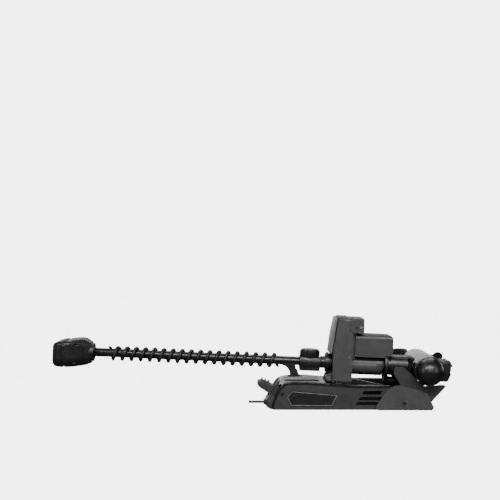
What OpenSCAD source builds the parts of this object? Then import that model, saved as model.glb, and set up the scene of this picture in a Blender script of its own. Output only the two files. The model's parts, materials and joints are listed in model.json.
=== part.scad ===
// Bow-mount electric trolling motor, stowed on its deck mount.
// Origin: centre of the deck footprint, on the underside of the base.
// +X points outboard, +Y to the propeller side, +Z up. Millimetres.

/* [Base] */
// Half length of the base from its centre to either end
base_half = 258; // [250:1:270]
// Half width of the base over its side panels
base_y = 95; // [90:1:100]
// Height of the side panels at the inboard end
base_h = 86; // [80:1:92]
// Wall of the moulded side panels
panel_wall = 4; // [3:0.5:5]
// Radius of the deck bolt holes
deck_hole_r = 4.2; // [3.5:0.1:5]
// Distance between deck bolts along the base
deck_pitch_x = 340; // [300:5:360]
// Distance between deck bolts across the base
deck_pitch_y = 70; // [60:1:80]

/* [Deploy linkage] */
// Thickness of each swing arm
arm_t = 8; // [6:0.5:9]
// Half width of the swing arms
arm_r = 13; // [11:0.5:14]
// Radius of the linkage pins
link_pin_r = 6; // [5:0.5:6.5]
// Radial clearance of every running fit
run = 0.05; // [0.02:0.01:0.08]

/* [Shaft] */
// Radius of the composite shaft
shaft_r = 14.3; // [13:0.1:15]
// Downward slope of the stowed shaft in degrees
shaft_tilt = 2.5; // [2:0.1:3]
// Height of the shaft axis above the base centre
shaft_z = 137; // [136:0.5:140]
// Distance of the shaft's head end from the base centre
head_x = 850; // [820:1:880]
// Turns of coiled cord
coil_turns = 18.5; // [16.5:1:20.5]
// Pitch of the coiled cord
coil_pitch = 30.3; // [28:0.1:32]
// Radius of the coiled cord itself
cord_r = 4.2; // [3.5:0.1:5.5]

/* [Lower unit] */
// Radius of the motor can
can_r = 46; // [42:0.5:46]
// Position of the motor axis along the shaft
motor_x = 244; // [240:1:250]
// Radius of the propeller
prop_r = 113; // [110:1:140]
// Number of propeller blades
blades = 2; // [2:1:3]
// Angle at which the stopped propeller stands
blade_rest = 7; // [0:1:15]

/* [Steering gear] */
// Teeth on the steering output gear
gear_teeth = 34; // [34]
// Teeth on the steering pinion
pinion_teeth = 20; // [20]
// Module of both gears
gear_m = 2; // [2]

/* [Hidden] */
$fn = 64;

// Pivot positions of the deploy linkage, as [x, z]
arm_base = [150, 35];
arm_top = [-20, 50];
link_base = [149, 48];
link_top = [-68, 93];
latch_pivot = [-45, 30];
latch_tail = [-45, 14];
latch_bar = [-31, 62];
lever_pivot = [-232, 50];
lever_tail = [-232, 34];
ramp_bolt = [165, 19];
// Inner faces of the arms, and the spacing of the lugs
arm_y = 48;
web_y = 62;
web_t = 6;
panel_in = 66;
link_half = 10;
// Stations along the shaft, in the shaft's own frame
ring_x = -78;
collar_x = -162;
gear_x = -38;
gear_w = 14;
sleeve_r = 20;
sleeve_end = 112;
flange_x = 126;
bumper_r = 50;
gear_centre = gear_m * (gear_teeth + pinion_teeth) / 2;

module on_shaft() translate([0, 0, shaft_z]) rotate([0, shaft_tilt, 0]) children();
module along_x(x) translate([x, 0, 0]) rotate([0, 90, 0]) children();
module on_motor() on_shaft() translate([motor_x, 0, 0]) rotate([-90, 0, 0]) children();
module slab(y0, t) translate([0, y0 + t, 0]) rotate([90, 0, 0]) linear_extrude(t) children();
module both_sides() { children(); mirror([0, 1, 0]) children(); }
module y_rod(p, r, y0, y1) translate([p[0], y0, p[1]]) rotate([-90, 0, 0]) cylinder(h = y1 - y0, r = r);
module x_tube(x0, x1, ro, ri) along_x(x0) difference() {
  cylinder(h = x1 - x0, r = ro);
  translate([0, 0, -1]) cylinder(h = x1 - x0 + 2, r = ri);
}
module x_rod(x0, x1, r) along_x(x0) cylinder(h = x1 - x0, r = r);
module bar2d(a, b, r) hull() {
  translate(a) circle(r);
  translate(b) circle(r);
}
function arc(c, rx, ry, a0, a1, n) =
  [for (i = [0:n]) let (a = a0 + (a1 - a0) * i / n) [c[0] + rx * cos(a), c[1] + ry * sin(a)]];

// ---------------------------------------------------------------- base

// Side view outline of a side panel, as [x, z]
module panel_outline() offset(6) offset(-6) polygon([
  [-base_half, 0], [-251, 26], [-235, 64], [-214, 83], [-190, base_h], [-140, base_h],
  [-70, 81], [0, 76], [120, 75], [196, 62], [236, 46], [base_half - 8, 0]
]);

// The outer face ends in a step just below the panel's top edge
// Outer face of a side panel, stepped in from its top and ends
face_step = 6.5;
module face_outline() intersection() {
  panel_outline();
  offset(delta = -face_step) union() {
    panel_outline();
    translate([0, -10]) panel_outline();
  }
}
module side_panel() difference() {
  union() {
    slab(-base_y, 10) face_outline();
    slab(4.5 - base_y, base_y - panel_in - 4.5) panel_outline();
  }
  slab(-base_y + panel_wall, base_y - panel_in) offset(delta = -panel_wall) face_outline();
  for (i = [0:2]) let (top = [61, 42, 26][i], low = [49, 31, 16][i], left = [38, 27, 17][i])
    slab(-base_y - 1, 6) polygon([[left, top], [left - 7, low], [90, low], [98, top]]);
  slab(-base_y - 1, 2.2) badge_outline(0.3);
  slab(-80.4, 10.8) offset(delta = 0.4) ramp_outline();
  for (p = screw_places) {
    y_rod(p, 2.6, -base_y - 1, -base_y + panel_wall + 1);
    y_rod(p, 5, -base_y - 1, -base_y + 2.5);
  }
}
// The outboard screw of each side hides under its cover plate
screw_places = [[-222, 50], [112, 30]];

module badge_outline(gap) offset(delta = gap)
  polygon([[-190, 61.5], [-43.6, 49], [-62.2, 11], [-195.4, 12], [-210, 42]]);

module base_extrusion() color("dimgray") difference() {
  union() {
    translate([-222, -65, 0]) cube([440, 130, 6]);
    both_sides() slab(-web_y - web_t + 3, web_t) polygon([
      [-222, 0], [-243, 20], [-239, 54], [-226, 64], [-110, 66], [-90, 56], [-6, 56], [0, 66], [112, 66], [130, 58],
      [170, 50], [205, 20], [205, 0]
    ]);
    both_sides() slab(-24, 13) polygon([[125, 4], [137, 56], [161, 56], [175, 4]]);
  }
  for (x = [-1, 1], y = [-1, 1]) translate([x * deck_pitch_x / 2, y * deck_pitch_y / 2, -1])
    cylinder(h = 8, r = deck_hole_r);
  y_rod(arm_base, link_pin_r, -80, 80);
  y_rod(link_base, link_pin_r, -30, 30);
  y_rod(latch_pivot, 4, -80, 80);
  y_rod(lever_pivot, 4, -80, 80);
  y_rod(ramp_bolt, 5, -80, 80);
  both_sides() for (p = screw_places) y_rod(p, 2.6, -80, -40);
}

cable_z = 16.8;
// Shell round the inboard end: three layers step back towards each side panel
end_outline = [
  [-236, -12], [-258, -12], [-271, -1], [-277, 9], [-274, 20], [-266, 32], [-260, 42], [-251, 60], [-241, 76],
  [-231, 85], [-222, 85], [-225, 66], [-236, 40]
];
module inboard_cover() color("#1c1c1e") difference() {
  for (i = [0:2]) slab(-42 - 20 * i, 84 + 40 * i) offset(4) offset(delta = -4 - 4 * i) polygon(end_outline);
  translate([-300, -base_y, -20]) cube([100, 2 * base_y, 20]);
  slab(-29, 58) polygon([[-300, 38], [-300, 100], [-215, 100], [-215, 30], [-262, 30]]);
  slab(-base_y - 1, 200) offset(delta = 0.4) panel_outline();
  slab(-62, 124) offset(delta = 0.3) polygon(top_outline);
  y_rod(lever_pivot, 13, -40, 40);
  translate([-300, -40, cable_z]) rotate([0, 90, 0]) cylinder(h = 80, r = 6.5);
}

// Side view of the cover over the base's inboard half, as [x, z]
top_outline = [
  [-234, 73], [-229, 82], [-221, 90], [-210, 96], [-108, 96], [-86, 87], [-76, 76], [-76, 70], [-234, 70]
];
module top_cover() color("#77797c") difference() {
  intersection() {
    slab(-60, 120) offset(4) offset(-4) polygon(top_outline);
    translate([-300, 0, 66]) rotate([90, 0, 90]) linear_extrude(300) polygon([
      [-60, 0], [-60, 8], [-55, 15.5], [-44, 21], [-25, 26.2], [-8, 28.5],
      [8, 28.5], [25, 26.2], [44, 21], [55, 15.5], [60, 8], [60, 0]
    ]);
  }
  slab(-50, 100) offset(2) offset(-9) polygon(top_outline);
  translate([-300, -70, 60]) cube([230, 140, 16.5]);
}

module cover_outline() offset(9) offset(-9) polygon(concat(
  [[73, 0], [79, 20]], arc([165, 8], 80, 74, 158, 118, 5),
  [[137, 78.5], [152, 79], [211, 65], [240, 52], [265, 0]]
));
module outboard_covers() color("#4a4b4d") both_sides() difference() {
  slab(-base_y - 7, 6.8) cover_outline();
  y_rod(ramp_bolt, 6.5, -base_y - 8, -base_y + 1);
}

// The far ramp stops short, so the motor's tail can swing down past it
module ramp_outline() offset(3) offset(-3) polygon([
  [136, 128], [140, 133], [170, 133], [225, 79], [236, 73], [263, 73], [283, 76.5], [300, 76.5], [303, 72],
  [246, 11], [238, 5], [175, 5], [168, 60], [137, 112]
]);
module motor_ramps() color("#3a3b3d") difference() {
  both_sides() slab(-80, 10) ramp_outline();
  translate([ramp_end, 60, 0]) cube([100, 40, 100]);
  both_sides() y_rod(ramp_bolt, 5, -90, -60);
}
ramp_end = 240;
motor_z = shaft_z - motor_x * sin(shaft_tilt);
module ramp_pads() color("#101010") both_sides() slab(-69.9, 7) polygon(concat(
  arc([motor_x, motor_z], saddle_r + 0.5, saddle_r + 0.5, 213, 262, 10),
  arc([motor_x, motor_z], can_r + 7, can_r + 7, 262, 213, 10)
));
module ramp_bolts() color("silver") both_sides() {
  y_rod(ramp_bolt, 5, -84, -56.5);
  y_rod(ramp_bolt, 8, -84, -80.05);
}

module shaft_rest() color("#161617") difference() {
  union() {
    slab(-13, 26) polygon(concat(
      arc([-226, 97], 33, 37, 90, 0, 8), [[-193, 90], [-162, 90], [-163, 100], [-168, 104], [-166, 107],
      [-171, 111], [-168.5, 114], [-173, 119], [-175.5, 119.5], [-175.5, 138], [-226, 138]]
    ));
    translate([-200, -8, 94]) cube([44, 16, 3.5]);
  }
  on_shaft() x_rod(-300, -100, 17.2);
  translate([-260, -40, 80]) cube([160, 80, 14.52]);
}
module shaft_rest_pad() color("#0c0c0c") intersection() {
  on_shaft() x_tube(-216, -176, 17.15, shaft_r + 0.2);
  slab(-12, 24) polygon([[-240, 100], [-150, 100], [-150, 138], [-240, 138]]);
}

module badge_plates() color("#c9a24a") both_sides() slab(-base_y, 1.1) badge_outline(0);

module panel_screws() color("silver") both_sides() for (p = screw_places) {
  y_rod(p, 2.5, -base_y + 2.55, -58);
  y_rod(p, 4.8, -base_y + 0.4, -base_y + 2.45);
}

module arm_pivot_pins() color("silver") both_sides() {
  y_rod(arm_base, link_pin_r, -68, -arm_y + 1);
  y_rod(arm_base, 9, -68, -65.05);
  y_rod(arm_base, 9, -58.95, -56.05);
}
module link_base_pin() color("silver") y_rod(link_base, link_pin_r, -24, 24);
module cross_pins() color("silver") for (p = [lever_pivot, latch_pivot]) y_rod(p, 4, -web_y - 4, web_y + 4);

module power_cable() color("#0b0b0b") {
  translate([-330, -40, cable_z]) rotate([0, 90, 0]) cylinder(h = 128, r = 4.2);
}
module cable_grommet() color("#0b0b0b") translate([-281.2, -40, cable_z]) rotate([0, 90, 0]) difference() {
  union() {
    cylinder(h = 4, r = 9);
    cylinder(h = 20, r = 6.4);
  }
  translate([0, 0, -1]) cylinder(h = 30, r = 4.25);
}

// ---------------------------------------------------------------- foot lever and latch

// Side view of the foot lever, as [x, z]
lever_outline = [
  [-232, 62], [-256, 68], [-290, 81], [-301, 79], [-302, 73], [-295, 62], [-266, 43], [-244, 39], [-226, 44], [-222, 52]
];
module foot_lever() color("#222224") difference() {
  union() {
    slab(-26, 52) offset(3) offset(-3) polygon(lever_outline);
    y_rod(lever_pivot, 11, -34, 34);
    both_sides() slab(-14, 7.2) bar2d(lever_pivot, lever_tail, 7);
  }
  y_rod(lever_pivot, 4 + run, -40, 40);
  difference() {
    slab(-6.8, 13.6) translate([-246, 22]) square([28, 21]);
    y_rod(lever_tail, 3, -14, 14);
  }
}
module foot_pad() color("#5a5b5d") translate([-290, 0, 81.1]) rotate([0, pedal_slope, 0]) {
  translate([1, -25, 0]) cube([33, 50, 2]);
  for (i = [0:2]) translate([1 + i * 11.5, -25, 1.9]) rotate([0, -12, 0]) cube([6, 50, 4.5]);
}
pedal_slope = atan(13 / 34);

// Push rod from the lever's tail to the hook's tail, with an oversize eye at each end
module latch_rod() color("silver") difference() {
  slab(-5, 10) {
    bar2d(lever_tail, latch_tail, 2.6);
    for (p = [lever_tail, latch_tail]) translate(p) circle(7);
  }
  for (p = [lever_tail, latch_tail]) hull() for (d = [-0.4, 0.4]) y_rod(p + [d, 0], 4.4, -10, 10);
}
module latch_hook() color("silver") difference() {
  union() {
    both_sides() slab(-24, 10) polygon([
      [-51, 9], [-39, 9], [-37, 30], [-38.5, 56], [-38.5, 66.6], [-24, 66.6], [-24, 70], [-32, 74], [-52, 74], [-53, 30]
    ]);
    both_sides() y_rod(latch_pivot, 8, -24, -9);
    y_rod(latch_tail, 3, -24, 24);
  }
  y_rod(latch_pivot, 4 + run, -40, 40);
}

// ---------------------------------------------------------------- swing arms

module swing_arms() color("#2a2b2d") both_sides() difference() {
  slab(-arm_y - arm_t, arm_t) bar2d(arm_base, arm_top, arm_r);
  y_rod(arm_base, 8, -70, -40);
  y_rod(arm_top, 8, -70, -40);
}
module arm_bushes() color("#b08d57") both_sides() for (p = [arm_base, arm_top]) difference() {
  y_rod(p, 8, -arm_y - arm_t, -arm_y);
  y_rod(p, link_pin_r + run, -70, -40);
}

module tilt_link() color("#2a2b2d") difference() {
  slab(-link_half, 2 * link_half) bar2d(link_base, link_top, 9.5);
  y_rod(link_base, link_pin_r + run, -30, 30);
  y_rod(link_top, link_pin_r + 1.7, -30, 30);
}

// ---------------------------------------------------------------- steering housing

// Side outline of the steering housing in the shaft frame, as [x, z]
module housing_outline() offset(3) offset(-3) polygon([
  [-43, 154], [-8, 154], [-8, 117], [5, 101], [5.5, -52], [-56, -53], [-57.5, 38]
]);
// Sides narrow towards the inboard end and the top is rounded
module housing_solid(cut = 0) intersection() {
  slab(-58, 116) offset(delta = -cut) housing_outline();
  translate([0, 0, -80]) linear_extrude(260) polygon([
    [10, 58 - cut], [-20, 58 - cut], [-46, 53 - cut], [-70, 46 - cut],
    [-70, cut - 46], [-46, cut - 53], [-20, cut - 58], [10, cut - 58]
  ]);
  along_x(-90) linear_extrude(140) offset(13) translate([cut - 141, cut - 45]) square([240, 90 - 2 * cut]);
}

module steering_housing() color("#4b4c4e") difference() {
  union() {
    on_shaft() {
      housing_solid();
      translate([3, -34, 18]) cube([12.9, 68, 83.9]);
      x_rod(4, sleeve_end, 25.5);
      translate([0, 0, -8.5]) x_rod(4, sleeve_end - 6, 27.5);
      x_rod(88, sleeve_end, 26.5);
    }
    both_sides() slab(-45, 17) hull() {
      translate(arm_top) circle(13);
      translate([-50, 88]) square([55, 2]);
    }
    both_sides() slab(-28, 16) hull() {
      translate(link_top) circle(12);
      translate([-52, 84]) square([20, 26]);
    }
  }
  // hollow for the gear train
  on_shaft() {
    difference() {
      housing_solid(5);
      translate([-80, -60, -70]) cube([100, 120, 22]);
    }
    x_rod(-120, 140, sleeve_r + 4);
    translate([0, 0, gear_centre]) x_rod(-2, 20, 12);
  }
  y_rod(arm_top, link_pin_r, -50, 50);
  y_rod(link_top, link_pin_r, -50, 50);
  both_sides() y_rod(latch_bar, 4, -30.5, -11);
  slab(-12, 24) polygon([[-100, 70], [-100, 106], [-62, 106], [-50, 101.5], [30, 85], [30, 60]]);
}
module housing_gasket() color("black") on_shaft() intersection() {
  slab(-45, 90) polygon([[-47.9, 145], [-44.4, 145], [-57.4, 41], [-60.5, 41]]);
  difference() {
    translate([-70, -60, -60]) cube([30, 120, 230]);
    x_rod(-120, 140, 36);
  }
}
module housing_cover() color("#8b8d90") on_shaft() difference() {
  hull() for (y = [-42, 42], p = [[-48, 146], [-56.5, 100], [-63, 38]])
    translate([p[0], y, p[1]]) sphere(r = 6, $fn = 24);
  slab(-80, 160) polygon([[-46, 170], [-48.1, 145], [-62.1, 30], [-62.1, 0], [20, 0], [20, 170]]);
  x_rod(-120, 40, 36.5);
}
module housing_pivot_pins() color("silver") {
  both_sides() y_rod(arm_top, link_pin_r, -arm_y - arm_t + 0.5, -28.5);
  y_rod(link_top, link_pin_r, -27, 27);
  both_sides() y_rod(latch_bar, 4, -30.5, -12);
}
// Depth control bracket, with the round boss and slot on its near face
module top_bracket() color("#6b6c6e") on_shaft() difference() {
  intersection() {
    union() {
      slab(-52, 104) offset(3) offset(-3) polygon([[-7.9, 154], [40, 152], [41, 103], [16, 103], [6, 103], [-7.9, 119]]);
      y_rod(bracket_boss, 9, -54, 54);
    }
    along_x(-90) linear_extrude(240) offset(13) translate([-139, -41]) square([60, 82]);
  }
  y_rod([16, 118.5], 6.5, -60, -45);
  slab(-53, 5) polygon([[23.5, 148], [26.5, 148], [26.5, 133], [23.5, 133]]);
}
bracket_boss = [19, 113];
module housing_screws() color("silver") on_shaft() both_sides() {
  y_rod([-12, 121.5], 3, -60, -58.02);
  y_rod([-7, 25], 3.6, -60, -58.02);
  y_rod([29.5, 123], 5, -54, -52.02);
}
module steering_motor_cover() color("#474849") on_shaft() difference() {
  intersection() {
    slab(-40, 80) offset(7) offset(-7) polygon([[16, 26.5], [17, 101], [132, 99], [138, 92], [139, 50], [134, 26.5]]);
    along_x(0) linear_extrude(160) offset(14) translate([-86, -26]) square([72, 52]);
  }
  slab(-36, 72) offset(3) offset(-3) polygon([[15, 31], [15, 94], [124, 94], [129, 86], [132, 50], [127, 31]]);
  x_rod(sleeve_end, 200, bumper_r + 2);
}
module steering_motor() color("gray") on_shaft() difference() {
  translate([0, 0, gear_centre]) {
    x_rod(16, 94, 21);
    x_rod(6, 16, 11.9);
    x_rod(94, 100, 8);
  }
  translate([0, 0, gear_centre]) along_x(-20) cylinder(h = 60, r = 4 + run);
}
module control_board() color("darkgreen") on_shaft() difference() {
  translate([-20, -44, 98]) cube([2, 88, 46]);
  for (y = [-38, 38]) translate([-30, y, 104]) rotate([0, 90, 0]) cylinder(h = 20, r = 1.6);
}
module sleeve_bearings() color("#b08d57") on_shaft() for (x = [-57, 96])
  x_tube(x, x + 12, sleeve_r + 4, sleeve_r + run);

// ---------------------------------------------------------------- steering gears

module gear2d(n) {
  root = gear_m * (n / 2 - 1.25);
  tip = gear_m * (n / 2 + 0.85);
  half = 360 / n / 4;
  polygon([for (i = [0:n - 1], p = [[root, -1.35], [root + 0.8, -1.2], [tip, -0.38], [tip, 0.38], [root + 0.8, 1.2], [root, 1.35]])
    let (a = 360 * i / n + half * p[1]) [p[0] * cos(a), p[0] * sin(a)]]);
}
module pinion() color("silver") on_shaft() translate([0, 0, gear_centre]) {
  along_x(gear_x) linear_extrude(gear_w) rotate(180 / pinion_teeth * (1 + pinion_teeth % 2)) gear2d(pinion_teeth);
  x_rod(gear_x, gear_x + gear_w + 50, 4);
}
module output_gear() color("#b08d57") on_shaft() along_x(gear_x) difference() {
  linear_extrude(gear_w) gear2d(gear_teeth);
  translate([0, 0, -1]) cylinder(h = gear_w + 2, r = sleeve_r);
}
module steer_sleeve() color("#121213") on_shaft() x_tube(-94, sleeve_end, sleeve_r, shaft_r + run);
module inboard_ring() color("#141415") on_shaft() difference() {
  union() {
    x_rod(ring_x, ring_x + 4, 32);
    x_rod(ring_x + 4, ring_x + 10, 34.6);
    x_rod(ring_x + 10, ring_x + 19, 30);
  }
  x_rod(ring_x - 1, ring_x + 30, sleeve_r);
}
// The knob turns on the collar's stud and clamps the collar on the shaft
module depth_collar() color("#1a1a1b") on_shaft() difference() {
  union() {
    intersection() {
      x_rod(collar_x, collar_x + 66, 31);
      translate([collar_x - 1, -40, -28]) cube([70, 80, 44]);
    }
    translate([collar_x + 2, -26, -28]) cube([62, 52, 12]);
    translate([collar_x + 33, 0, 15]) cylinder(h = 15, r = 6);
  }
  x_rod(collar_x - 1, collar_x + 70, shaft_r + run);
}
module collar_knob() color("#1a1a1b") on_shaft() translate([collar_x + 33, 0, 16.3]) difference() {
  union() {
    cylinder(h = 20, r = 33);
    cylinder(h = 24.5, r = 29);
  }
  translate([0, 0, -1]) cylinder(h = 16, r = 6 + run);
  for (i = [0:23]) rotate(15 * i) translate([34, 0, -1]) cylinder(h = 19, r = 2.4, $fn = 16);
}

// ---------------------------------------------------------------- shaft, cord and head

module shaft() color("#101011") on_shaft() x_tube(-head_x, can_x0, shaft_r, 11);

// Cord wound round the shaft: rings of points follow a helix, joined by triangles
cord_steps = 14;
cord_end = -231.5;
cord_sag = 1;
cord_sides = 6;
cord_rings = coil_turns * cord_steps;
function cord_point(i, k) = let (
  a = 360 * i / cord_steps,
  b = 360 * k / cord_sides,
  r = shaft_r + cord_r + cord_sag + 0.8 + cord_r * cos(b)
) [coil_pitch * i / cord_steps + 1.3 * cord_r * sin(b), r * sin(a), r * cos(a)];
module coil_cord() color("#0d0d0d") on_shaft() translate([cord_end - coil_turns * coil_pitch, 0, -cord_sag]) polyhedron(
  [for (i = [0:cord_rings], k = [0:cord_sides - 1]) cord_point(i, k)],
  concat(
    [[for (k = [0:cord_sides - 1]) k]],
    [for (i = [0:cord_rings - 1], k = [0:cord_sides - 1]) let (n = (k + 1) % cord_sides, c = cord_sides)
      each [[i * c + k, (i + 1) * c + k, (i + 1) * c + n], [i * c + k, (i + 1) * c + n, i * c + n]]],
    [[for (k = [cord_sides - 1:-1:0]) cord_rings * cord_sides + k]]
  ),
  convexity = 20
);

// Slice across the head: thickness t, half width hy, from z0 to z1, lower corner radius r
head_top_r = 11;
module head_slice(x, t, hy, z0, z1, r) along_x(x) linear_extrude(t) hull() {
  for (side = [-1, 1]) {
    translate([-z1 + head_top_r, side * (hy - head_top_r)]) circle(head_top_r);
    translate([-z0 - r, side * (hy - r)]) circle(r);
  }
}
module head_cover() color("#2a2b2d") on_shaft() difference() {
  hull() {
    head_slice(-966, 1, 50, -40, 27, 16);
    head_slice(-958, 1, 62, -46, 32, 24);
    head_slice(-948, 1, 69, -48, 35, 30);
    head_slice(-935.2, 1, 70, -49, 36, 32);
  }
  hull() {
    head_slice(-960, 1, 48, -34, 22, 16);
    head_slice(-934, 1, 62, -41, 28, 28);
  }
}
module head_body() {
  head_slice(-934, 12, 66, -45, 32, 30);
  hull() {
    head_slice(-925, 1, 70, -48.5, 37, 34);
    head_slice(-912, 1, 68, -48, 39, 34);
    head_slice(-898, 1, 58, -47, 42, 32);
    head_slice(-885, 1, 46, -45.5, 44, 30);
    head_slice(-870, 1, 34, -44, 44, 26);
    head_slice(-858, 1, 28, -41, 39, 22);
    head_slice(-848, 1, 25, -36, 33, 20);
  }
}
module head_screw_places() for (y = [-54, 54], z = [-31, 26]) translate([0, y, z]) children();
module head_shell() color("#1b1b1d") on_shaft() difference() {
  union() {
    difference() {
      head_body();
      hull() {
        head_slice(-934.5, 1, 60, -39, 26, 28);
        head_slice(-914, 1, 61, -41, 33, 28);
        head_slice(-888, 1, 38, -38, 36, 26);
      }
    }
    intersection() {
      head_body();
      head_screw_places() x_rod(-934, -890, 7.5);
    }
    x_rod(-868, -839, 30);
  }
  head_screw_places() {
    x_rod(-940, -850, 2.2);
    x_rod(-911, -850, 5.2);
  }
  x_rod(-930, -820, shaft_r + run);
}
module head_board() color("darkgreen") on_shaft() head_slice(-926, 2, 44, -34, 22, 18);
module head_screws() color("silver") on_shaft() head_screw_places() {
  x_rod(-933.5, -910, 2.1);
  x_rod(-910.95, -907, 4.6);
}

// ---------------------------------------------------------------- lower unit

can_y0 = -110;
can_y1 = 104;
can_in = can_r - 5;
can_x0 = motor_x - 50;
saddle_r = can_r + 0.4;
// Half-round band where the saddle is let into the can
module can_band(r0, r1, y0, y1, a0, a1) on_motor() translate([0, 0, y0]) rotate(a0)
  rotate_extrude(angle = a1 - a0) translate([r0, 0]) square([r1 - r0, y1 - y0]);
module saddle_screws(r0, r1, r) on_motor() for (y = [-66, 54]) translate([0, 0, y]) rotate(205) x_rod(r0, r1, r);

module neck() color("#141415") difference() {
  union() {
    difference() {
      on_shaft() {
        x_rod(sleeve_end + 2, flange_x - 4, bumper_r);
        x_rod(flange_x - 4.5, flange_x, 44);
        x_rod(flange_x - 1, flange_x + 8, 32);
        x_rod(flange_x + 8, 192, 34);
        hull() {
          along_x(190) cylinder(h = 2, r = 34, $fn = 32);
          translate([207, -54, -34]) cube([16, 108, 62]);
        }
      }
      on_motor() translate([0, 0, -200]) cylinder(h = 400, r = saddle_r - 0.2);
    }
    can_band(can_r - 2.3, saddle_r, can_y0 + 6, can_y1 - 6, 98, 209);
  }
  on_shaft() x_rod(100, can_x0 + 0.1, shaft_r);
  saddle_screws(can_in, 60, 2.2);
}
module motor_can() color("#8d8e90") difference() {
  on_motor() translate([0, 0, can_y0]) difference() {
    cylinder(h = can_y1 - can_y0, r = can_r);
    translate([0, 0, -1]) cylinder(h = can_y1 - can_y0 + 2, r = can_in);
  }
  can_band(can_r - 2.4, 60, can_y0 + 5.9, can_y1 - 5.9, 97.6, 209.4);
  saddle_screws(can_in - 1, 60, 2.2);
}
module nose_cone() color("#1a1a1c") on_motor() rotate_extrude() polygon(concat(
  [[0, can_y0 - 1], [0, can_y0 - 48]], arc([0, can_y0 - 6], can_r - 2, 42, -86, 0, 10),
  [[can_r + 1, can_y0 - 5], [can_r + 1, can_y0 - 0.05], [can_in - 0.2, can_y0 - 0.05], [can_in - 0.2, can_y0 + 8],
   [can_in - 5, can_y0 + 8], [can_in - 5, can_y0 - 1]]
));
module rear_bell() color("#141415") on_motor() rotate_extrude() polygon(concat(
  [[6.5, can_y1 + 52], [6.5, can_y1 + 22], [15, can_y1 + 22], [15, can_y1 + 6], [can_in - 5, can_y1 + 1],
   [can_in - 5, can_y1 - 8], [can_in - 0.2, can_y1 - 8], [can_in - 0.2, can_y1 + 0.05], [can_r, can_y1 + 0.05]],
  arc([16, can_y1 + 4], can_r - 17, 48, 0, 84, 10), [[16, can_y1 + 52]]
));
module field_magnets() color("#303030") for (a = [0, 180])
  can_band(34, can_in - 0.05, -60, 50, a, a + 140);
module motor_screws() color("silver") {
  saddle_screws(can_in + 0.2, saddle_r + 0.1, 2.1);
  saddle_screws(saddle_r + 0.05, saddle_r + 2.6, 3.8);
  on_motor() for (a = [160, 340]) rotate(a) translate([38.3, 0, can_y0 + 8.05])
    cylinder(h = can_y1 - can_y0 - 16.1, r = 2.2);
}
module motor_bearings() color("silver") on_motor() {
  translate([0, 0, can_y1 + 10]) difference() {
    cylinder(h = 12, r = 15);
    translate([0, 0, -1]) cylinder(h = 20, r = 6 + run);
  }
  translate([0, 0, can_y0 - 0.9]) difference() {
    cylinder(h = 10, r = 14);
    translate([0, 0, -1]) cylinder(h = 20, r = 6 + run);
  }
}
module skeg() color("#141415") difference() {
  on_shaft() translate([0, 0, -3]) linear_extrude(6) offset(4) offset(-4) polygon([
    [285, 4], [287, 70], [300, 88], [338, 86], [356, 68], [354, 40], [322, 4]
  ]);
  on_motor() translate([0, 0, -200]) cylinder(h = 400, r = can_r + 0.05);
}
module sonar_housing() color("#1a1a1c") difference() {
  on_shaft() hull() for (y = [-76, -14], p = [[278, -29], [282, 20], [306, -29], [312, 23], [313, -10]])
    translate([p[0], y, p[1]]) sphere(r = 8, $fn = 24);
  on_motor() translate([0, 0, -200]) cylinder(h = 400, r = can_r + 1.05);
  on_shaft() y_rod([323, -5], 6, -100, 0);
}

// ---------------------------------------------------------------- rotor and propeller

module armature() color("#7a4a2a") on_motor() {
  translate([0, 0, can_y0 + 1]) cylinder(h = hub_y + 73 - can_y0, r = 6);
  translate([0, 0, -55]) cylinder(h = 100, r = 32);
  translate([0, 0, -92]) cylinder(h = 24, r = 17);
}
hub_y = can_y1 + 53;
blade_y = 40;
// Slice across a blade at radius r, reaching lead and trail to either side as seen from the front
module blade_slice(r, lead, trail, pitch, t) translate([r, 0, 0]) rotate([pitch, 0, 0])
  translate([-0.5, -lead / cos(pitch), -t / 2]) cube([1, (lead + trail) / cos(pitch), t]);
module blade() {
  hull() {
    blade_slice(7, 29.5, 33, 35, 6);
    blade_slice(30, 26, 38, 33, 5);
    blade_slice(48, 19, 38, 30, 4.2);
  }
  hull() {
    blade_slice(48, 19, 38, 30, 4.2);
    blade_slice(prop_r - 39, 7.5, 34, 26, 3.4);
  }
  hull() {
    blade_slice(prop_r - 39, 7.5, 34, 26, 3.4);
    blade_slice(prop_r - 27, 14.5, 27, 23, 3);
    blade_slice(prop_r - 18, 17, 23, 21, 2.8);
    blade_slice(prop_r - 9, 12.5, 16.5, 19, 2.4);
    blade_slice(prop_r - 3, 7.5, 9, 18, 2);
    blade_slice(prop_r - 0.5, 2, 2, 17, 2);
  }
}
module propeller() color("#131314") on_motor() difference() {
  union() {
    translate([0, 0, hub_y]) rotate_extrude() polygon([
      [0, 0], [23, 0], [27, 10], [27, 46], [22, 62], [14, 70], [0, 70]
    ]);
    for (i = [0:blades - 1]) rotate(360 / blades * i - blade_rest) translate([0, 0, hub_y + blade_y]) blade();
  }
  translate([0, 0, hub_y - 1]) cylinder(h = 80, r = 6);
  translate([0, 0, hub_y + 62]) cylinder(h = 20, r = 10.05);
}
module prop_nut() color("silver") on_motor() translate([0, 0, hub_y + 62]) difference() {
  cylinder(h = 9, r = 9.9, $fn = 6);
  translate([0, 0, -1]) cylinder(h = 20, r = 6);
}

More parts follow.
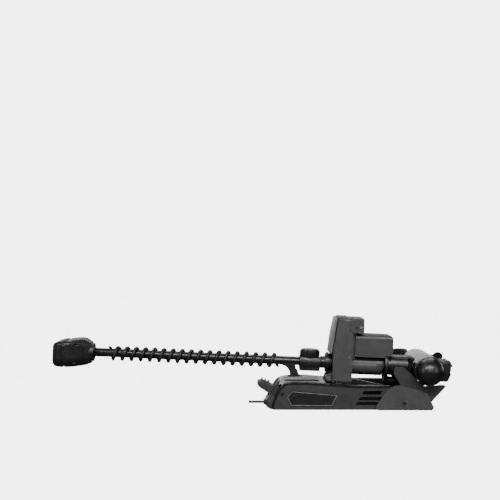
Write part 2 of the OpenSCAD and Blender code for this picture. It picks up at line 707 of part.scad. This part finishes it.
base_extrusion();
color("#3d3e40") side_panel();  // side_panel_near
color("#3d3e40") mirror([0, 1, 0]) side_panel();  // side_panel_far
inboard_cover();
top_cover();
outboard_covers();
motor_ramps();
ramp_pads();
shaft_rest();
shaft_rest_pad();
badge_plates();
panel_screws();
arm_pivot_pins();
link_base_pin();
power_cable();
cable_grommet();
cross_pins();
ramp_bolts();
foot_lever();
foot_pad();
latch_rod();
latch_hook();
swing_arms();
arm_bushes();
tilt_link();
steering_housing();
housing_gasket();
housing_cover();
housing_pivot_pins();
top_bracket();
housing_screws();
steering_motor_cover();
steering_motor();
control_board();
sleeve_bearings();
pinion();
steer_sleeve();
output_gear();
inboard_ring();
depth_collar();
collar_knob();
shaft();
coil_cord();
head_shell();
head_cover();
head_board();
head_screws();
neck();
motor_can();
nose_cone();
rear_bell();
field_magnets();
motor_screws();
motor_bearings();
skeg();
sonar_housing();
armature();
propeller();
prop_nut();
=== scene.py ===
"""Looks for a stowed bow-mount trolling motor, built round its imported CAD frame. Metres."""
import json
import math

import bpy
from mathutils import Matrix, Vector


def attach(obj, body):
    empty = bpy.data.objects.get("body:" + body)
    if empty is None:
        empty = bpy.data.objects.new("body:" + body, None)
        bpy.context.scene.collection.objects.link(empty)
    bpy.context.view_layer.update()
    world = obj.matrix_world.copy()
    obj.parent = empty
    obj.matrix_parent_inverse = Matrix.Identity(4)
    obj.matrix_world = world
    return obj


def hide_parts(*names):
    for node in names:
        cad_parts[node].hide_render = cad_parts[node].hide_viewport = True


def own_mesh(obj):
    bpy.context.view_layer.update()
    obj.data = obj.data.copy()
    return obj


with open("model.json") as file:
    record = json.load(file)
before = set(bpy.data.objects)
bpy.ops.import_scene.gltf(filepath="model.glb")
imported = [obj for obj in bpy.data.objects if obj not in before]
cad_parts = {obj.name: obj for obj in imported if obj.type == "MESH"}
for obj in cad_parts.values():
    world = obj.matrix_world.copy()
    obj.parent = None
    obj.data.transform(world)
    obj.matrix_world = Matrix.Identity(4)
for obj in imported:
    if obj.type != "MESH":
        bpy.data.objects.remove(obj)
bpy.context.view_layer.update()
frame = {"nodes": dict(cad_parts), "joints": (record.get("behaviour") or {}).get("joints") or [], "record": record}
NODES = frame["nodes"]
JOINTS = {j["name"]: j for j in frame["joints"]}

MM = 0.001
# The shaft's frame: its direction, its upward normal and a point on its axis
SHAFT_DIR = Vector(JOINTS["steer"]["axis"]).normalized()
SHAFT_UP = Vector((-SHAFT_DIR.z, 0, SHAFT_DIR.x))
SHAFT_AT = Vector(JOINTS["steer"]["pos_m"])
ACROSS = Vector((0, 1, 0))
# How far in from an edge its wear reaches, in metres, and the black painted onto the recessed rim of the panels as
# shade
EDGE_REACH = 0.0012
PAINTED_SHADE_BLACK = (0.003, 0.003, 0.003, 1)


def on_shaft(x, y, z):
    """A point given in millimetres along, across and above the shaft's axis."""
    return SHAFT_AT + SHAFT_DIR * x * MM + ACROSS * y * MM + SHAFT_UP * z * MM


# ------------------------------------------------------------------ materials

def node(tree, kind, **inputs):
    n = tree.nodes.new(kind)
    for key, value in inputs.items():
        n.inputs[key.replace("_", " ")].default_value = value
    return n


def link(tree, a, out, b, into):
    tree.links.new(a.outputs[out], b.inputs[into])


def noise(tree, where, scale, detail=3.0, stretch=None):
    """3-D noise in object space; stretch scales each axis for a brushed look."""
    n = node(tree, "ShaderNodeTexNoise", Scale=scale, Detail=detail, Roughness=0.55)
    if stretch:
        m = node(tree, "ShaderNodeMapping", Scale=stretch)
        link(tree, where, "Object", m, "Vector")
        link(tree, m, "Vector", n, "Vector")
    else:
        link(tree, where, "Object", n, "Vector")
    return n


def remap(tree, source, out, low, high, start=0.35, end=0.65):
    r = node(tree, "ShaderNodeMapRange")
    r.inputs["From Min"].default_value = start
    r.inputs["From Max"].default_value = end
    r.inputs["To Min"].default_value = low
    r.inputs["To Max"].default_value = high
    link(tree, source, out, r, "Value")
    return r


def blend(tree, mode="MIX"):
    """A colour mix. Its sockets are 0 factor, 6 first colour and 7 second colour; output 2 is the colour."""
    n = node(tree, "ShaderNodeMix")
    n.data_type = "RGBA"
    n.blend_type = mode
    n.inputs[0].default_value = 1.0
    return n


def math_node(tree, operation):
    n = node(tree, "ShaderNodeMath")
    n.operation = operation
    return n


def with_wear(tree, where, base, worn):
    """Lets a paler colour show in patches along the outer edges."""
    edge = node(tree, "ShaderNodeBevel", Radius=EDGE_REACH)
    edge.samples = 4
    flat = node(tree, "ShaderNodeNewGeometry")
    dot = node(tree, "ShaderNodeVectorMath")
    dot.operation = "DOT_PRODUCT"
    link(tree, edge, "Normal", dot, 0)
    link(tree, flat, "Normal", dot, 1)
    mask = remap(tree, dot, "Value", 0.7, 0.0, 0.86, 0.985)
    scuff = noise(tree, where, 160.0, 5.0)
    patch = remap(tree, scuff, "Fac", 0.1, 1.0)
    both = math_node(tree, "MULTIPLY")
    link(tree, mask, "Result", both, 0)
    link(tree, patch, "Result", both, 1)
    out = blend(tree)
    link(tree, both, "Value", out, 0)
    link(tree, base, 2, out, 6)
    out.inputs[7].default_value = (*worn, 1)
    return out


def with_painted_falloff_shade(tree, base, painted_falloff):
    """Paints shade: darkens the colour of what turns away from the eye, so that flanks, undersides and fillets
    look shaded.
    """
    turn = node(tree, "ShaderNodeLayerWeight", Blend=0.5)
    seen = remap(tree, turn, "Facing", 1.0, 0.12, 0.06, 0.06 + 0.9 / (1 + painted_falloff))
    out = blend(tree, "MULTIPLY")
    link(tree, base, 2, out, 6)
    link(tree, seen, "Result", out, 7)
    return out


def with_painted_shade_band(tree, base, start, end):
    """Paints shade: leaves the surface black between two distances from the middle plane of the mount, as painted
    shade on the recessed rim of the panels.
    """
    place = node(tree, "ShaderNodeNewGeometry")
    split = node(tree, "ShaderNodeSeparateXYZ")
    link(tree, place, "Position", split, 0)
    off = math_node(tree, "ABSOLUTE")
    link(tree, split, "Y", off, 0)
    near = math_node(tree, "COMPARE")
    link(tree, off, "Value", near, 0)
    near.inputs[1].default_value = (start + end) / 2
    near.inputs[2].default_value = (end - start) / 2
    out = blend(tree)
    link(tree, near, "Value", out, 0)
    link(tree, base, 2, out, 6)
    out.inputs[7].default_value = PAINTED_SHADE_BLACK
    return out


def material(name, color, rough, metal=0.0, grain=1800.0, bump=0.12, vary=0.10,
             worn=None, coat=0.0, stretch=None, spread=0.08, painted_shade_band=None, painted_falloff=0.0):
    """A finish with a fine grain and blotches of colour and sheen, and the layers asked for: edge wear, painted
    shade on faces that turn away from the eye, and a painted black shade band.
    """
    mat = bpy.data.materials.new(name)
    mat.use_nodes = True
    tree = mat.node_tree
    bsdf = tree.nodes["Principled BSDF"]
    where = tree.nodes.new("ShaderNodeTexCoord")
    bsdf.inputs["Metallic"].default_value = metal
    bsdf.inputs["Coat Weight"].default_value = coat
    bsdf.inputs["Coat Roughness"].default_value = 0.12

    blotch = noise(tree, where, 22.0, 4.0)
    tone = remap(tree, blotch, "Fac", 1.0 - vary, 1.0 + vary)
    last = blend(tree, "MULTIPLY")
    last.inputs[6].default_value = (*color, 1)
    link(tree, tone, "Result", last, 7)
    if worn:
        last = with_wear(tree, where, last, worn)
    # Painted shade: the colour darkens on surfaces that turn away from the eye
    if painted_falloff:
        last = with_painted_falloff_shade(tree, last, painted_falloff)
    # Painted shade: a black band between two distances from the middle plane
    if painted_shade_band:
        last = with_painted_shade_band(tree, last, *painted_shade_band)
    link(tree, last, 2, bsdf, "Base Color")

    smear = noise(tree, where, 60.0, 5.0, stretch)
    gloss = remap(tree, smear, "Fac", rough - spread, rough + spread)
    link(tree, gloss, "Result", bsdf, "Roughness")

    fine = noise(tree, where, grain, 2.0, stretch)
    relief = node(tree, "ShaderNodeBump", Strength=bump, Distance=0.0004)
    link(tree, fine, "Fac", relief, "Height")
    link(tree, relief, "Normal", bsdf, "Normal")
    return mat


GREY_WEAR = (0.16, 0.16, 0.165)
# The recessed rim of each side panel lies between these distances from the mount's middle plane; its colour there
# is painted black as shade
PANEL_RIM_SHADE = (0.0845, 0.0936)
# A falloff weight of 0.6 paints shade into a finish's colour where its surface turns away from the eye.
FINISH = {
    "anodized": material("anodized", (0.012, 0.012, 0.013), 0.40, 0.6, 2600, 0.06, worn=(0.12, 0.12, 0.12)),
    "panel": material("panel", (0.036, 0.036, 0.037), 0.40, grain=1500, bump=0.14,
                      worn=(0.07, 0.07, 0.07), painted_shade_band=PANEL_RIM_SHADE, painted_falloff=0.6),
    "cover_grey": material("cover_grey", (0.050, 0.050, 0.050), 0.48, grain=1300, bump=0.2,
                           worn=(0.10, 0.10, 0.10), painted_falloff=0.6),
    "top_grey": material("top_grey", (0.26, 0.262, 0.266), 0.36, grain=1500, bump=0.12,
                         worn=(0.30, 0.30, 0.30)),
    "ramp": material("ramp", (0.030, 0.030, 0.031), 0.48, grain=1200, bump=0.22,
                     worn=(0.08, 0.08, 0.08), painted_falloff=0.6),
    "housing": material("housing", (0.046, 0.046, 0.046), 0.44, grain=1200, bump=0.2,
                        worn=(0.12, 0.12, 0.12), painted_falloff=0.6),
    "housing_light": material("housing_light", (0.12, 0.12, 0.122), 0.42, grain=1300, bump=0.18,
                              worn=GREY_WEAR),
    "gloss_black": material("gloss_black", (0.005, 0.005, 0.006), 0.30, coat=0.1, grain=900, bump=0.02),
    "black": material("black", (0.008, 0.008, 0.009), 0.38, grain=1600, bump=0.12,
                      worn=(0.03, 0.03, 0.03), painted_falloff=0.6),
    "rubber": material("rubber", (0.006, 0.006, 0.006), 0.5, grain=2200, bump=0.2, painted_falloff=0.6),
    "steel": material("steel", (0.62, 0.62, 0.63), 0.26, 1.0, 900, 0.05, stretch=(1, 1, 6)),
    "arm_metal": material("arm_metal", (0.012, 0.012, 0.013), 0.4, 0.2, 1800, 0.1,
                          worn=(0.035, 0.035, 0.035)),
    "bronze": material("bronze", (0.52, 0.36, 0.16), 0.34, 1.0, 1400, 0.08),
    "can": material("can", (0.33, 0.33, 0.332), 0.38, 0.1, 2200, 0.06, coat=0.15, worn=(0.3, 0.3, 0.3)),
    "motor_black": material("motor_black", (0.008, 0.008, 0.009), 0.36, coat=0.15, grain=1500,
                            bump=0.05, painted_falloff=0.6),
    "prop": material("prop", (0.006, 0.006, 0.007), 0.22, coat=0.3, grain=1500, bump=0.05),
    "badge": material("badge", (0.002, 0.002, 0.0025), 0.5, grain=1500, bump=0.04),
    "board": material("board", (0.01, 0.06, 0.02), 0.4, grain=700, bump=0.2),
    "magnet": material("magnet", (0.04, 0.04, 0.042), 0.6, 0.3, 1500, 0.2),
    "copper": material("copper", (0.42, 0.18, 0.08), 0.35, 0.9, 900, 0.3, stretch=(1, 8, 1)),
}
BADGE_RIM = material("badge_rim", (0.42, 0.42, 0.43), 0.34, 0.7, 1500, 0.05)
BADGE_BAR = material("badge_accent", (0.50, 0.31, 0.07), 0.35, 0.5, 1500, 0.05)


# ------------------------------------------------------------------ CAD nodes

# Width in millimetres of the rounded edge that each node's moulding or machining has
EDGES = {
    "side_panel_near": 2.0, "side_panel_far": 2.0, "outboard_covers": 1.6, "motor_ramps": 2.0,
    "inboard_cover": 3.0, "top_cover": 1.5, "steering_housing": 2.2, "steering_motor_cover": 3.5,
    "top_bracket": 2.0, "head_cover": 1.2, "head_shell": 1.2, "neck": 1.6, "depth_collar": 1.5,
    "foot_lever": 2.0, "foot_pad": 1.0, "shaft_rest": 1.0, "skeg": 1.4, "sonar_housing": 1.0,
    "swing_arms": 0.8, "tilt_link": 0.8, "collar_knob": 1.2, "inboard_ring": 1.2, "base_extrusion": 0.6,
    "badge_plates": 0.3, "panel_screws": 0.5, "housing_screws": 0.6, "motor_screws": 0.6,
    "housing_gasket": 0.3, "ramp_pads": 0.6, "nose_cone": 0.6, "rear_bell": 0.6,
}
OTHER_EDGE = 0.4


def soften(obj, width_mm, angle=28):
    """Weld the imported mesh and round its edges, so that moulded corners catch the light."""
    weld = obj.modifiers.new("weld", "WELD")
    weld.merge_threshold = 1e-5
    bevel = obj.modifiers.new("edge", "BEVEL")
    bevel.width = width_mm * MM
    bevel.segments = 3
    bevel.limit_method = "ANGLE"
    bevel.angle_limit = math.radians(angle)
    bevel.harden_normals = True
    bevel.use_clamp_overlap = True


for entry in frame["record"]["subparts"]:
    cad = NODES[entry["node"]]
    cad.data.materials.clear()
    cad.data.materials.append(FINISH[entry["material_slot"]])
    soften(cad, EDGES.get(entry["node"], OTHER_EDGE))


# ------------------------------------------------------------------ pieces modelled here

def piece(name, verts, faces, mat, body, slot, smooth=True, instead_of=None):
    """A mesh that rides a body, and takes the place of a CAD node where one is named."""
    mesh = bpy.data.meshes.new(name)
    mesh.from_pydata([tuple(v) for v in verts], [], faces)
    mesh.validate()
    mesh.polygons.foreach_set("use_smooth", [smooth] * len(mesh.polygons))
    mesh.materials.append(mat)
    obj = bpy.data.objects.new(name, mesh)
    bpy.context.scene.collection.objects.link(obj)
    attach(obj, body)
    if instead_of:
        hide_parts(instead_of)
    return obj


def skin(rows, ring=False):
    """Vertices and faces of a tube through rows of points, each row a closed loop. The tube is capped
    at both ends, or its last row is joined to its first."""
    n, count = len(rows[0]), len(rows)
    verts = [p for row in rows for p in row]
    faces = [
        (i * n + k, i * n + (k + 1) % n, j * n + (k + 1) % n, j * n + k)
        for i, j in ((i, (i + 1) % count) for i in range(count if ring else count - 1))
        for k in range(n)
    ]
    if not ring:
        faces.append(tuple(range(n - 1, -1, -1)))
        faces.append(tuple((count - 1) * n + k for k in range(n)))
    return verts, faces


# Coiled cord round the shaft, in millimetres. It hangs a little low, and its section is an ellipse,
# longer along the shaft.
SHAFT_R = 14.3
CORD_R, CORD_WIDE, CORD_GAP, CORD_SAG = 4.3, 1.25, 1.8, 1.0
TURNS, PITCH, CORD_END = 18.5, 30.3, -231.5
COIL_R = SHAFT_R + CORD_GAP + CORD_R


def coil_centre(turn):
    a = 2 * math.pi * turn
    x = CORD_END - (TURNS - turn) * PITCH
    return Vector((x, COIL_R * math.sin(a), COIL_R * math.cos(a) - CORD_SAG))


def coil_rows(steps=28, sides=12, step=0.002):
    """Rings of points along the coil, which tapers to rounded ends."""
    rows = []
    last = int(TURNS * steps)
    for i in range(last + 1):
        turn = i / steps
        at = coil_centre(turn)
        run = (coil_centre(turn + step) - coil_centre(turn - step)).normalized()
        out = Vector((0, at.y, at.z)).normalized()
        side = run.cross(out).normalized()
        out = side.cross(run)
        end = min(i, last - i)
        r = CORD_R * min(1.0, 0.55 + 0.15 * end)
        rows.append([
            on_shaft(*(at + out * r * math.cos(b) + side * r * CORD_WIDE * math.sin(b)))
            for b in (2 * math.pi * k / sides for k in range(sides))
        ])
    return rows


cord = piece("coil_cord_swept", *skin(coil_rows()), FINISH["rubber"], "shaft_unit", "rubber",
             instead_of="coil_cord")
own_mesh(cord)

# Propeller, in millimetres: a lathed hub and two twisted, rounded blades
MOTOR_X, HUB_Y, BLADE_Y = 244, 157, 197
ROOT_R, PROP_R = 7, 113
ROOT_PITCH, TIP_PITCH = 35, 17
ROOT_THICK, TIP_THICK = 3.0, 1.0
CAMBER = 2.4


def at_motor(x, y, z):
    return on_shaft(MOTOR_X + x, y, z)


# Outline of a blade from the front: radius, reach of the leading side, reach of the trailing side
BLADE = [
    (7, 29.5, 33), (16, 28.5, 34.5), (24, 27, 36.5), (34, 24.5, 37.5), (44, 21, 38), (54, 15.5, 37),
    (64, 10.5, 35), (72, 8.2, 33), (78, 9, 31), (84, 13, 28.5), (90, 16, 25.6), (96, 16.6, 22.4),
    (102, 14, 18.2), (107, 10, 13.2), (110.5, 6.4, 8.4), (112.4, 3.2, 4.2), (113, 1.0, 1.3),
]
BLADE_REST = math.radians(7)


def smooth_station(k, f):
    """The outline a share f past station k, on a cubic through the neighbours, so it has no corners."""
    q = [BLADE[max(0, min(len(BLADE) - 1, k + d))] for d in (-1, 0, 1, 2)]
    return [
        0.5 * (2 * q[1][c] + (q[2][c] - q[0][c]) * f
               + (2 * q[0][c] - 5 * q[1][c] + 4 * q[2][c] - q[3][c]) * f * f
               + (3 * q[1][c] - q[0][c] - 3 * q[2][c] + q[3][c]) * f ** 3)
        for c in range(3)
    ]


def blade_rows(turn, steps=4, points=24):
    """Sections of a blade from root to tip; turn is 1, or -1 for the opposite blade."""
    rows = []
    for i in range((len(BLADE) - 1) * steps + 1):
        k = min(i // steps, len(BLADE) - 2)
        r, lead, trail = smooth_station(k, i / steps - k)
        r = min(r, PROP_R)
        out = (r - ROOT_R) / (PROP_R - ROOT_R)
        pitch = math.radians(ROOT_PITCH + (TIP_PITCH - ROOT_PITCH) * out)
        half = 0.5 * (lead + trail) / math.cos(pitch)
        off = 0.5 * (lead - trail) / math.cos(pitch)
        thick = ROOT_THICK + (TIP_THICK - ROOT_THICK) * out
        row = []
        for j in range(points):
            u = 2 * math.pi * j / points
            c = off + half * math.cos(u)
            bow = CAMBER * (math.cos(u) ** 2 - 0.5) * (half / 38)
            t = thick * min(1.0, half / 6) * math.sin(u) + bow
            up = c * math.cos(pitch) + t * math.sin(pitch)
            row.append(at_motor(
                turn * (r * math.cos(BLADE_REST) - up * math.sin(BLADE_REST)),
                BLADE_Y - c * math.sin(pitch) + t * math.cos(pitch),
                turn * (r * math.sin(BLADE_REST) + up * math.cos(BLADE_REST)),
            ))
        rows.append(row)
    return rows


def lathe(profile, y0, sides):
    """Rings of points round the motor's axis, from a profile of radius and distance."""
    angles = [2 * math.pi * k / sides for k in range(sides)]
    return [[at_motor(r * math.cos(a), y0 + y, r * math.sin(a)) for a in angles] for r, y in profile]


HUB_SIDES = 64
HUB = [
    (6.2, 0.2), (21, 0.2), (23.5, 0.9), (25.5, 4), (26.6, 8), (27, 13), (27, 44), (26.5, 50),
    (25, 56.5), (22, 62.5), (18, 67), (14.5, 69.2), (11.5, 69.9), (10.3, 69.5), (10.1, 62.2), (6.2, 62.2),
]
verts, faces = skin(lathe(HUB, HUB_Y, HUB_SIDES), ring=True)
for turn in (1, -1):
    more, extra = skin(blade_rows(turn))
    faces += [tuple(i + len(verts) for i in f) for f in extra]
    verts += more
piece("propeller_cast", verts, faces, FINISH["prop"], "rotor", "prop", instead_of="propeller")

# Blank badge: a thin pale rim round the plate, and one plain bar. Outlines are in (x, z), clockwise.
BADGE = [(-190, 61.5), (-43.6, 49), (-62.2, 11), (-195.4, 12), (-210, 42)]
BAR = [(-118, 27.5), (-76, 27.5), (-79, 21), (-118, 21)]
# Distances of the badge's layers from the middle plane of the mount
BADGE_FACE, RIM_TOP, BAR_SIDE, BAR_TOP = 93.96, 95.15, 94.6, 94.9


def inset(points, d):
    """The outline moved inwards by d."""
    lines = []
    n = len(points)
    for i in range(n):
        (ax, az), (bx, bz) = points[i], points[(i + 1) % n]
        length = math.hypot(bx - ax, bz - az)
        nx, nz = (bz - az) / length, -(bx - ax) / length
        lines.append(((ax + nx * d, az + nz * d), (bx - ax, bz - az)))
    out = []
    for i in range(n):
        (p, u), (q, v) = lines[i - 1], lines[i]
        cross = u[0] * v[1] - u[1] * v[0]
        t = ((q[0] - p[0]) * v[1] - (q[1] - p[1]) * v[0]) / cross
        out.append((p[0] + u[0] * t, p[1] + u[1] * t))
    return out


def on_side(side, points, *layers):
    """The outline inset and moved out to each layer, given as pairs of inset and distance."""
    return [
        [Vector((x * MM, side * out * MM, z * MM)) for x, z in inset(points, d)] for d, out in layers
    ]


for side, name in ((-1, "near"), (1, "far")):
    rim = on_side(side, BADGE, (2.0, BADGE_FACE), (2.3, RIM_TOP), (4.1, RIM_TOP), (4.4, BADGE_FACE))
    piece("badge_rim_" + name, *skin(rim, ring=True), BADGE_RIM, "base", "steel", smooth=False)
    bar = on_side(side, BAR, (0, BADGE_FACE), (0, BAR_SIDE), (0.5, BAR_TOP))
    piece("badge_bar_" + name, *skin(bar), BADGE_BAR, "base", "bronze", smooth=False)


# ------------------------------------------------------------------ floor, light, camera

# Low enough for the lowered motor to hang clear of it
FLOOR_Z = -0.95
FLOOR_SIZE = 60
# Brightness of the backdrop and of the floor's own glow, as the camera sees them
BACKDROP, FLOOR_GLOW = 5.2, 5.1
# What the floor reflects: towards the camera, and towards the object
FLOOR_SEEN, FLOOR_BOUNCE = (0.25, 0.25, 0.25, 1), (0.12, 0.12, 0.12, 1)
WHITE = (1, 1, 1, 1)
WALL = 1.7

bpy.ops.mesh.primitive_plane_add(size=FLOOR_SIZE, location=(0, 0, FLOOR_Z))
floor = bpy.context.object
floor.name = "floor"


def for_camera(tree, seen, lit, kind):
    """Mixes two shaders: one that the camera sees and one that lights the object."""
    path = node(tree, "ShaderNodeLightPath")
    mix = node(tree, "ShaderNodeMixShader")
    link(tree, path, "Is Camera Ray", mix, 0)
    link(tree, lit, 0, mix, 1)
    link(tree, seen, 0, mix, 2)
    out = node(tree, kind)
    link(tree, mix, 0, out, "Surface")


pale = bpy.data.materials.new("floor_pale")
pale.use_nodes = True
tree = pale.node_tree
tree.nodes.clear()
matt = node(tree, "ShaderNodeBsdfDiffuse", Color=FLOOR_BOUNCE)
white = node(tree, "ShaderNodeBsdfDiffuse", Color=FLOOR_SEEN)
glow = node(tree, "ShaderNodeEmission", Color=WHITE, Strength=FLOOR_GLOW)
both = node(tree, "ShaderNodeAddShader")
link(tree, white, 0, both, 0)
link(tree, glow, 0, both, 1)
for_camera(tree, both, matt, "ShaderNodeOutputMaterial")
floor.data.materials.append(pale)

# The room that lights the object is dark overhead, and has a bright wall low down behind the object.
# The camera sees an even backdrop instead.
world = bpy.data.worlds.new("studio")
bpy.context.scene.world = world
world.use_nodes = True
tree = world.node_tree
tree.nodes.clear()
backdrop = node(tree, "ShaderNodeBackground", Color=WHITE, Strength=BACKDROP)
ambient = node(tree, "ShaderNodeBackground", Color=WHITE)
direction = node(tree, "ShaderNodeTexCoord")
split = node(tree, "ShaderNodeSeparateXYZ")
link(tree, direction, "Generated", split, 0)
overhead = remap(tree, split, "Z", 0.22, 0.04, 0.08, 0.42)
behind = remap(tree, split, "Y", 0.0, WALL, 0.15, 0.7)
low_down = remap(tree, split, "Z", 1.0, 0.0, 0.1, 0.3)
room = math_node(tree, "MULTIPLY_ADD")
link(tree, behind, "Result", room, 0)
link(tree, low_down, "Result", room, 1)
link(tree, overhead, "Result", room, 2)
link(tree, room, "Value", ambient, "Strength")
for_camera(tree, backdrop, ambient, "ShaderNodeOutputWorld")


def softbox(name, at, aim, size, power):
    lamp = bpy.data.lights.new(name, "AREA")
    lamp.energy = power
    lamp.shape = "RECTANGLE"
    lamp.size, lamp.size_y = size
    obj = bpy.data.objects.new(name, lamp)
    bpy.context.scene.collection.objects.link(obj)
    obj.location = at
    obj.rotation_euler = (Vector(aim) - Vector(at)).to_track_quat("-Z", "Y").to_euler()


softbox("key_light", (-0.35, -2.1, 1.75), (-0.25, 0, 0.12), (3.0, 0.45), 92)
softbox("top_light", (-0.2, 0.2, 2.4), (-0.2, 0, 0.1), (2.4, 0.5), 9)
softbox("front_light", (-0.3, -4.0, 1.1), (-0.2, 0, 0.15), (3.2, 0.8), 18)
softbox("right_light", (1.9, -1.8, 0.7), (0.1, 0, 0.15), (0.5, 1.2), 8)
softbox("left_light", (-2.3, -1.2, 0.7), (-0.1, 0, 0.15), (0.5, 1.2), 10)
softbox("back_light", (0.0, 2.0, 2.6), (0, 0, 0.1), (3.0, 0.5), 45)

camera_data = bpy.data.cameras.new("camera")
camera = bpy.data.objects.new("camera", camera_data)
bpy.context.scene.collection.objects.link(camera)
bpy.context.scene.camera = camera
camera_data.lens = 60
camera_data.sensor_width = 36
camera.location = (-0.325, -2.75, 0.510)
camera.rotation_euler = (math.radians(90), 0, 0)
